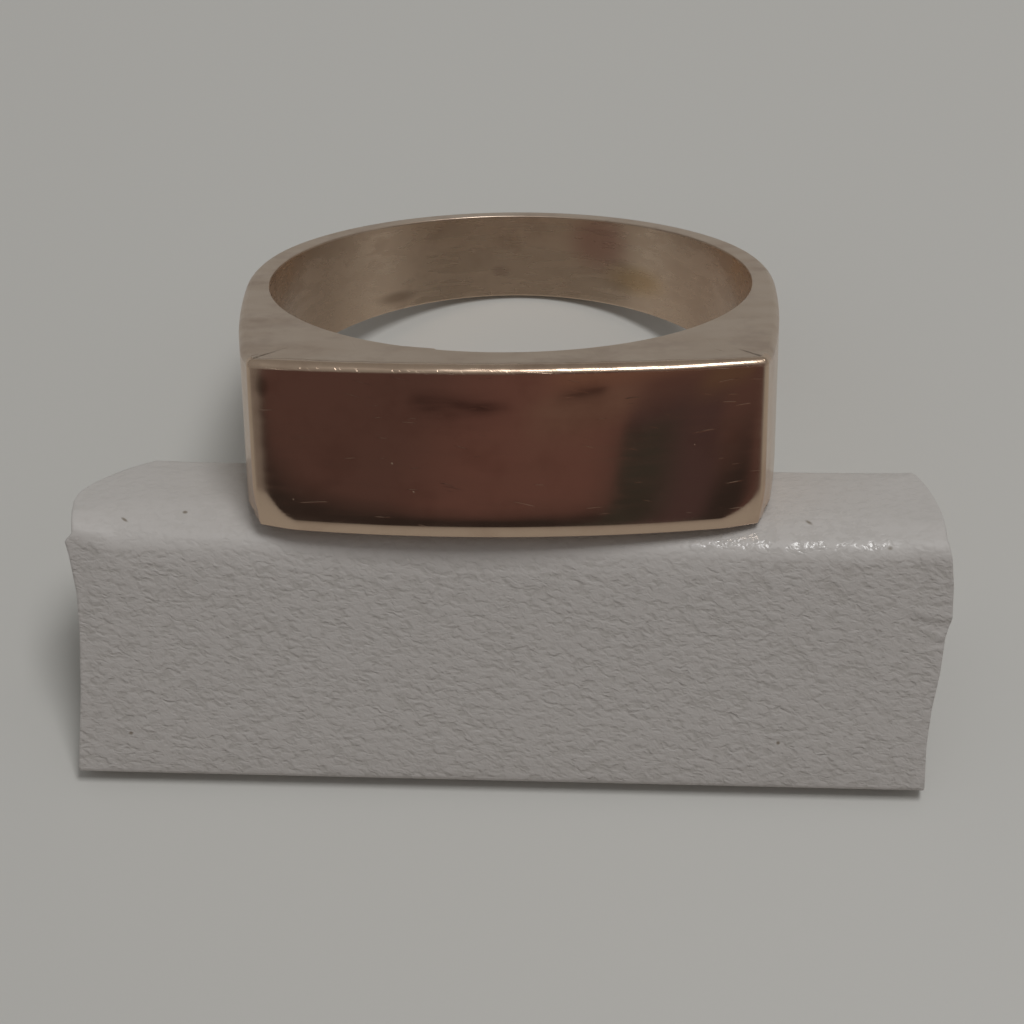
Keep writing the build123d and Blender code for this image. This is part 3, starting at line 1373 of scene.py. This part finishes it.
    def creased(self, grid: np.ndarray) -> np.ndarray:
        """Presses the short folds into the front, beside the right-hand cut edge.

        Args:
            grid: Points of the cover.

        Returns:
            The moved points.
        """
        made = grid.copy()
        girth = np.array([self.girth(row[:, 1:]) for row in grid])
        for fold in self.folds:
            reach = (grid[:, :, 0] - fold.start[0]) / (fold.end[0] - fold.start[0])
            middle = fold.start[1] + (fold.end[1] - fold.start[1]) * reach
            middle += fold.bow * np.sin(pi * np.clip(reach, 0, 1))
            away = (girth - middle) / fold.wide
            inside = smooth(reach, *fold.start_fade) * (1 - smooth(reach, *fold.end_fade))
            shape = np.exp(-(away**2)) - fold.ridge_share * np.exp(-((away + fold.ridge_above) ** 2))
            pressed = fold.depth * shape * inside * (np.abs(away) < fold.side_reach)
            made -= pressed[:, :, None] * np.array(self.front_normal)
        return made

    def shell(self, grid: np.ndarray) -> tuple[np.ndarray, list[Face], list[int]]:
        """Closes the cover at both ends with its cut edge and the recessed core.

        Args:
            grid: Points of the cover.

        Returns:
            Points, faces and the material number of each face.
        """
        count, around = grid.shape[:2]
        points = [grid.reshape(-1, 3)]
        faces = self.tube_faces(count, around)
        zones = [PadZone.COVER.value] * len(faces)
        total = count * around
        for end, sign in ((0, -1.0), (count - 1, 1.0)):
            line = grid[end]
            inside = np.column_stack([line[:, 0], self.section(sign * self.width / 2, self.sheet)])
            flat = inside.copy()
            flat[:, 0] = sign * (self.width / 2 - self.recess)
            middle = flat.mean(axis=0)
            lip = [sign * self.cut_lip, 0, 0]
            belts = [(line + (inside - line) * share + lip, PadZone.COVER) for share in self.lip_shares]
            belts += [(inside + (flat - inside) * share, PadZone.COVER) for share in self.recess_shares]
            belts += [(flat + (middle - flat) * share, PadZone.CORE) for share in self.core_shares]
            below = end * around
            for belt, zone in belts:
                points.append(belt)
                new = belt_faces(below, total, around)
                faces += new if sign < 0 else [face[::-1] for face in new]
                zones += [zone.value] * around
                below = total
                total += around
            points.append(middle[None])
            fan = [(below + i, below + (i + 1) % around, total) for i in range(around)]
            faces += fan if sign < 0 else [face[::-1] for face in fan]
            zones += [PadZone.CORE.value] * around
            total += 1
        return np.concatenate(points), faces, zones

    def foot_block(self) -> bpy.types.Object:
        """Makes the core's foot under the cover, as a block with softened edges.

        Returns:
            The foot's object, riding on the body.
        """
        half_x = self.width / 2 - self.foot_inset - self.foot_corner
        half_y = self.depth / 2 - self.foot_inset - self.foot_corner
        belts = [*self.foot_edge, *((self.foot + rise, 0.0) for rise in self.foot_tops)]
        points = []
        for height, inset in belts:
            radius = self.foot_corner - inset
            for quarter, (sign_x, sign_y) in enumerate(((1, 1), (-1, 1), (-1, -1), (1, -1))):
                for turn in np.linspace(0, pi / 2, self.foot_corner_steps + 1):
                    angle = quarter * pi / 2 + turn
                    x, y = sign_x * half_x + radius * cos(angle), sign_y * half_y + radius * sin(angle)
                    points.append((x, y, height))
        around = len(points) // len(belts)
        faces: list[Face] = []
        for k in range(len(belts) - 1):
            faces += belt_faces(k * around, (k + 1) * around, around)
        faces.append(tuple(range(around))[::-1])
        faces.append(tuple(range(len(points) - around, len(points))))
        made = mesh_object("pad_core_foot", np.array(points), faces)
        made.data.materials.append(self.core_finish.material())
        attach(made, BODY)
        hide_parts("display_pad")
        return made

    def build(self) -> list[bpy.types.Object]:
        """Makes the cover and the core, dresses them and seats them.

        Returns:
            The pad's objects, riding on the body.
        """
        grid = self.grid()
        grid = self.puff(grid)
        points, faces, zones = self.shell(self.creased(grid))
        cover = mesh_object("pad_cover", points, faces)
        cover.data.materials.append(self.cover_finish.material())
        cover.data.materials.append(self.core_finish.material())
        cover.data.polygons.foreach_set("material_index", zones)
        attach(cover, BODY)
        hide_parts("display_pad")
        return [cover, self.foot_block()]


@dataclass(frozen=True)
class RoomBlock:
    """A soft-edged block of the room round the ring, in degrees.

    Azimuth runs from the front towards the right, at 6 degrees over the horizon, and height is over the
    horizon. Soft gives the width of the block's blurred left, right, lower and upper edges.
    """

    colour: str
    azimuth: tuple[float, float]
    height: tuple[float, float]
    soft: tuple[float, float, float, float]


@dataclass(frozen=True)
class Studio:
    """The table, the soft overhead light, and the room that the gold mirrors."""

    table_size: float = 3.0
    key_place: tuple[float, float, float] = (0.112, 0.028, 0.51)
    key_size: tuple[float, float] = (0.2, 0.13)
    key_power: float = 0.95
    sky_low: str = "878684"
    sky_high: str = "939392"
    room_lean: float = 0.8
    lean_from: float = 6.0
    blocks: tuple[RoomBlock, ...] = (
        RoomBlock("564341", (-34.0, 38.0), (-4.0, 44.0), (22.0, 6.0, 2.0, 14.0)),
        RoomBlock("654C49", (-6.0, 11.0), (-4.0, 30.0), (10.0, 6.0, 2.0, 10.0)),
        RoomBlock("755B50", (3.0, 26.0), (9.4, 16.0), (5.0, 4.0, 2.0, 3.0)),
        RoomBlock("6A5650", (2.0, 12.0), (7.4, 8.9), (5.0, 4.0, 0.8, 0.8)),
        RoomBlock("342E2D", (-30.0, 28.0), (-4.0, 4.5), (8.0, 4.0, 1.0, 1.6)),
        RoomBlock("4B3D3F", (12.0, 22.5), (-4.0, 7.5), (1.5, 3.0, 1.0, 1.6)),
        RoomBlock("3B3A37", (11.8, 17.2), (-4.0, 6.7), (0.9, 5.0, 1.0, 0.8)),
        RoomBlock("5F4D43", (19.0, 27.0), (6.8, 9.0), (4.0, 3.0, 1.0, 1.0)),
        RoomBlock("1C1313", (-9.5, -1.0), (8.2, 8.7), (2.0, 4.0, 0.3, 0.3)),
        RoomBlock("2A1E1E", (4.3, 8.6), (8.62, 9.02), (2.5, 1.5, 0.3, 0.3)),
    )
    table: PlainFinish = field(
        default_factory=lambda: PlainFinish("pale_lacquered_board", "CFCECA", "CDCCC7", 0.5, 60.0)
    )

    def build(self) -> None:
        """Makes the table, the light and the room."""
        half = self.table_size / 2 / MM
        corners = np.array([[-half, -half, 0.0], [half, -half, 0.0], [half, half, 0.0], [-half, half, 0.0]])
        table = mesh_object("table", corners, [(0, 1, 2, 3)])
        table.data.materials.append(self.table.material())
        lamp = bpy.data.lights.new("key", "AREA")
        lamp.shape = "RECTANGLE"
        lamp.size, lamp.size_y = self.key_size
        lamp.energy = self.key_power
        key = bpy.data.objects.new("key", lamp)
        key.location = self.key_place
        key.rotation_euler = (-Vector(self.key_place)).to_track_quat("-Z", "Y").to_euler()
        bpy.context.scene.collection.objects.link(key)
        self.room()
        bpy.context.scene.view_settings.view_transform = "Standard"

    def room(self) -> None:
        """Builds the room as a world: pale all round, with darker blocks in front of the plate."""
        world = bpy.data.worlds.new("room")
        nodes = Nodes(world, "Generated")
        x, y, z = nodes.add("SeparateXYZ", {0: nodes.place}).outputs
        front = nodes.add("Math", {0: y, 1: -1.0}, operation="MULTIPLY")
        round_by = nodes.add("Math", {0: x, 1: front}, operation="ARCTAN2")
        rise = nodes.add("Math", {0: z}, operation="ARCSINE")
        turned = nodes.add("Math", {0: round_by}, operation="DEGREES")
        height = nodes.add("Math", {0: rise}, operation="DEGREES")
        # Everything in the room leans a little to the left
        lean = {0: height, 1: -self.room_lean, 2: self.room_lean * self.lean_from}
        shear = nodes.add("Math", lean, operation="MULTIPLY_ADD")
        azimuth = nodes.add("Math", {0: turned, 1: shear}, operation="ADD")
        layers = [(nodes.add("MapRange", {"Value": height, **span(0.0, 90.0)}), self.sky_high)]
        layers += [(self.block_share(nodes, block, azimuth, height), block.colour) for block in self.blocks]
        shine = nodes.add("Background", {"Color": nodes.layered(self.sky_low, layers), "Strength": 1.0})
        nodes.add("OutputWorld", {"Surface": shine})
        bpy.context.scene.world = world

    @staticmethod
    def block_share(nodes: Nodes, block: RoomBlock, azimuth: Node, height: Node) -> Node:
        """Adds a block's share: 1 inside it, and 0 outside its blurred edges.

        Args:
            nodes: The world's nodes.
            block: The block.
            azimuth: The azimuth of each direction.
            height: The height of each direction.

        Returns:
            The node that gives the share.
        """
        left, right, lower, upper = block.soft
        edges = (
            (azimuth, block.azimuth[0], left),
            (azimuth, block.azimuth[1], -right),
            (height, block.height[0], lower),
            (height, block.height[1], -upper),
        )
        share: Node | None = None
        for value, middle, wide in edges:
            ramp = {"Value": value, **span(middle - wide / 2, middle + wide / 2)}
            edge = nodes.add("MapRange", ramp, interpolation_type="SMOOTHSTEP")
            if share is not None:
                edge = nodes.add("Math", {0: share, 1: edge}, operation="MULTIPLY")
            share = edge
        assert share is not None
        return share


@dataclass(frozen=True)
class Viewpoint:
    """The camera at the photograph's angle: above the front, and a little to the right of the ring."""

    place: tuple[float, float, float] = (6.08, -55.137, 96.934)
    heading: float = radians(5.55)
    below_level: float = radians(56.82)
    roll: float = radians(-3.604)
    lens: float = 94.92
    sensor: float = 36.0
    near_m: float = 0.001
    far_m: float = 20.0

    def build(self) -> None:
        """Makes the camera and gives it to the scene."""
        data = bpy.data.cameras.new("camera")
        data.lens = self.lens
        data.sensor_width = self.sensor
        data.clip_start = self.near_m
        data.clip_end = self.far_m
        camera = bpy.data.objects.new("camera", data)
        turn = (
            Matrix.Rotation(self.heading, 4, "Z")
            @ Matrix.Rotation(pi / 2 - self.below_level, 4, "X")
            @ Matrix.Rotation(self.roll, 4, "Z")
        )
        camera.matrix_world = Matrix.Translation(Vector(self.place) * MM) @ turn
        bpy.context.scene.collection.objects.link(camera)
        bpy.context.scene.camera = camera


def main() -> None:
    """Builds the camera, the studio, the pad and the ring, and reports each piece."""
    logging.basicConfig(level=logging.INFO, format="%(message)s")
    Viewpoint().build()
    Studio().build()
    sizes = RingSizes()
    pieces = DisplayPad().build()
    pieces.append(Ring(sizes).build(Stand(sizes)))
    for piece in pieces:
        log.info("%s: %d faces", piece.name, len(piece.data.polygons))


if __name__ == "__main__":
    main()
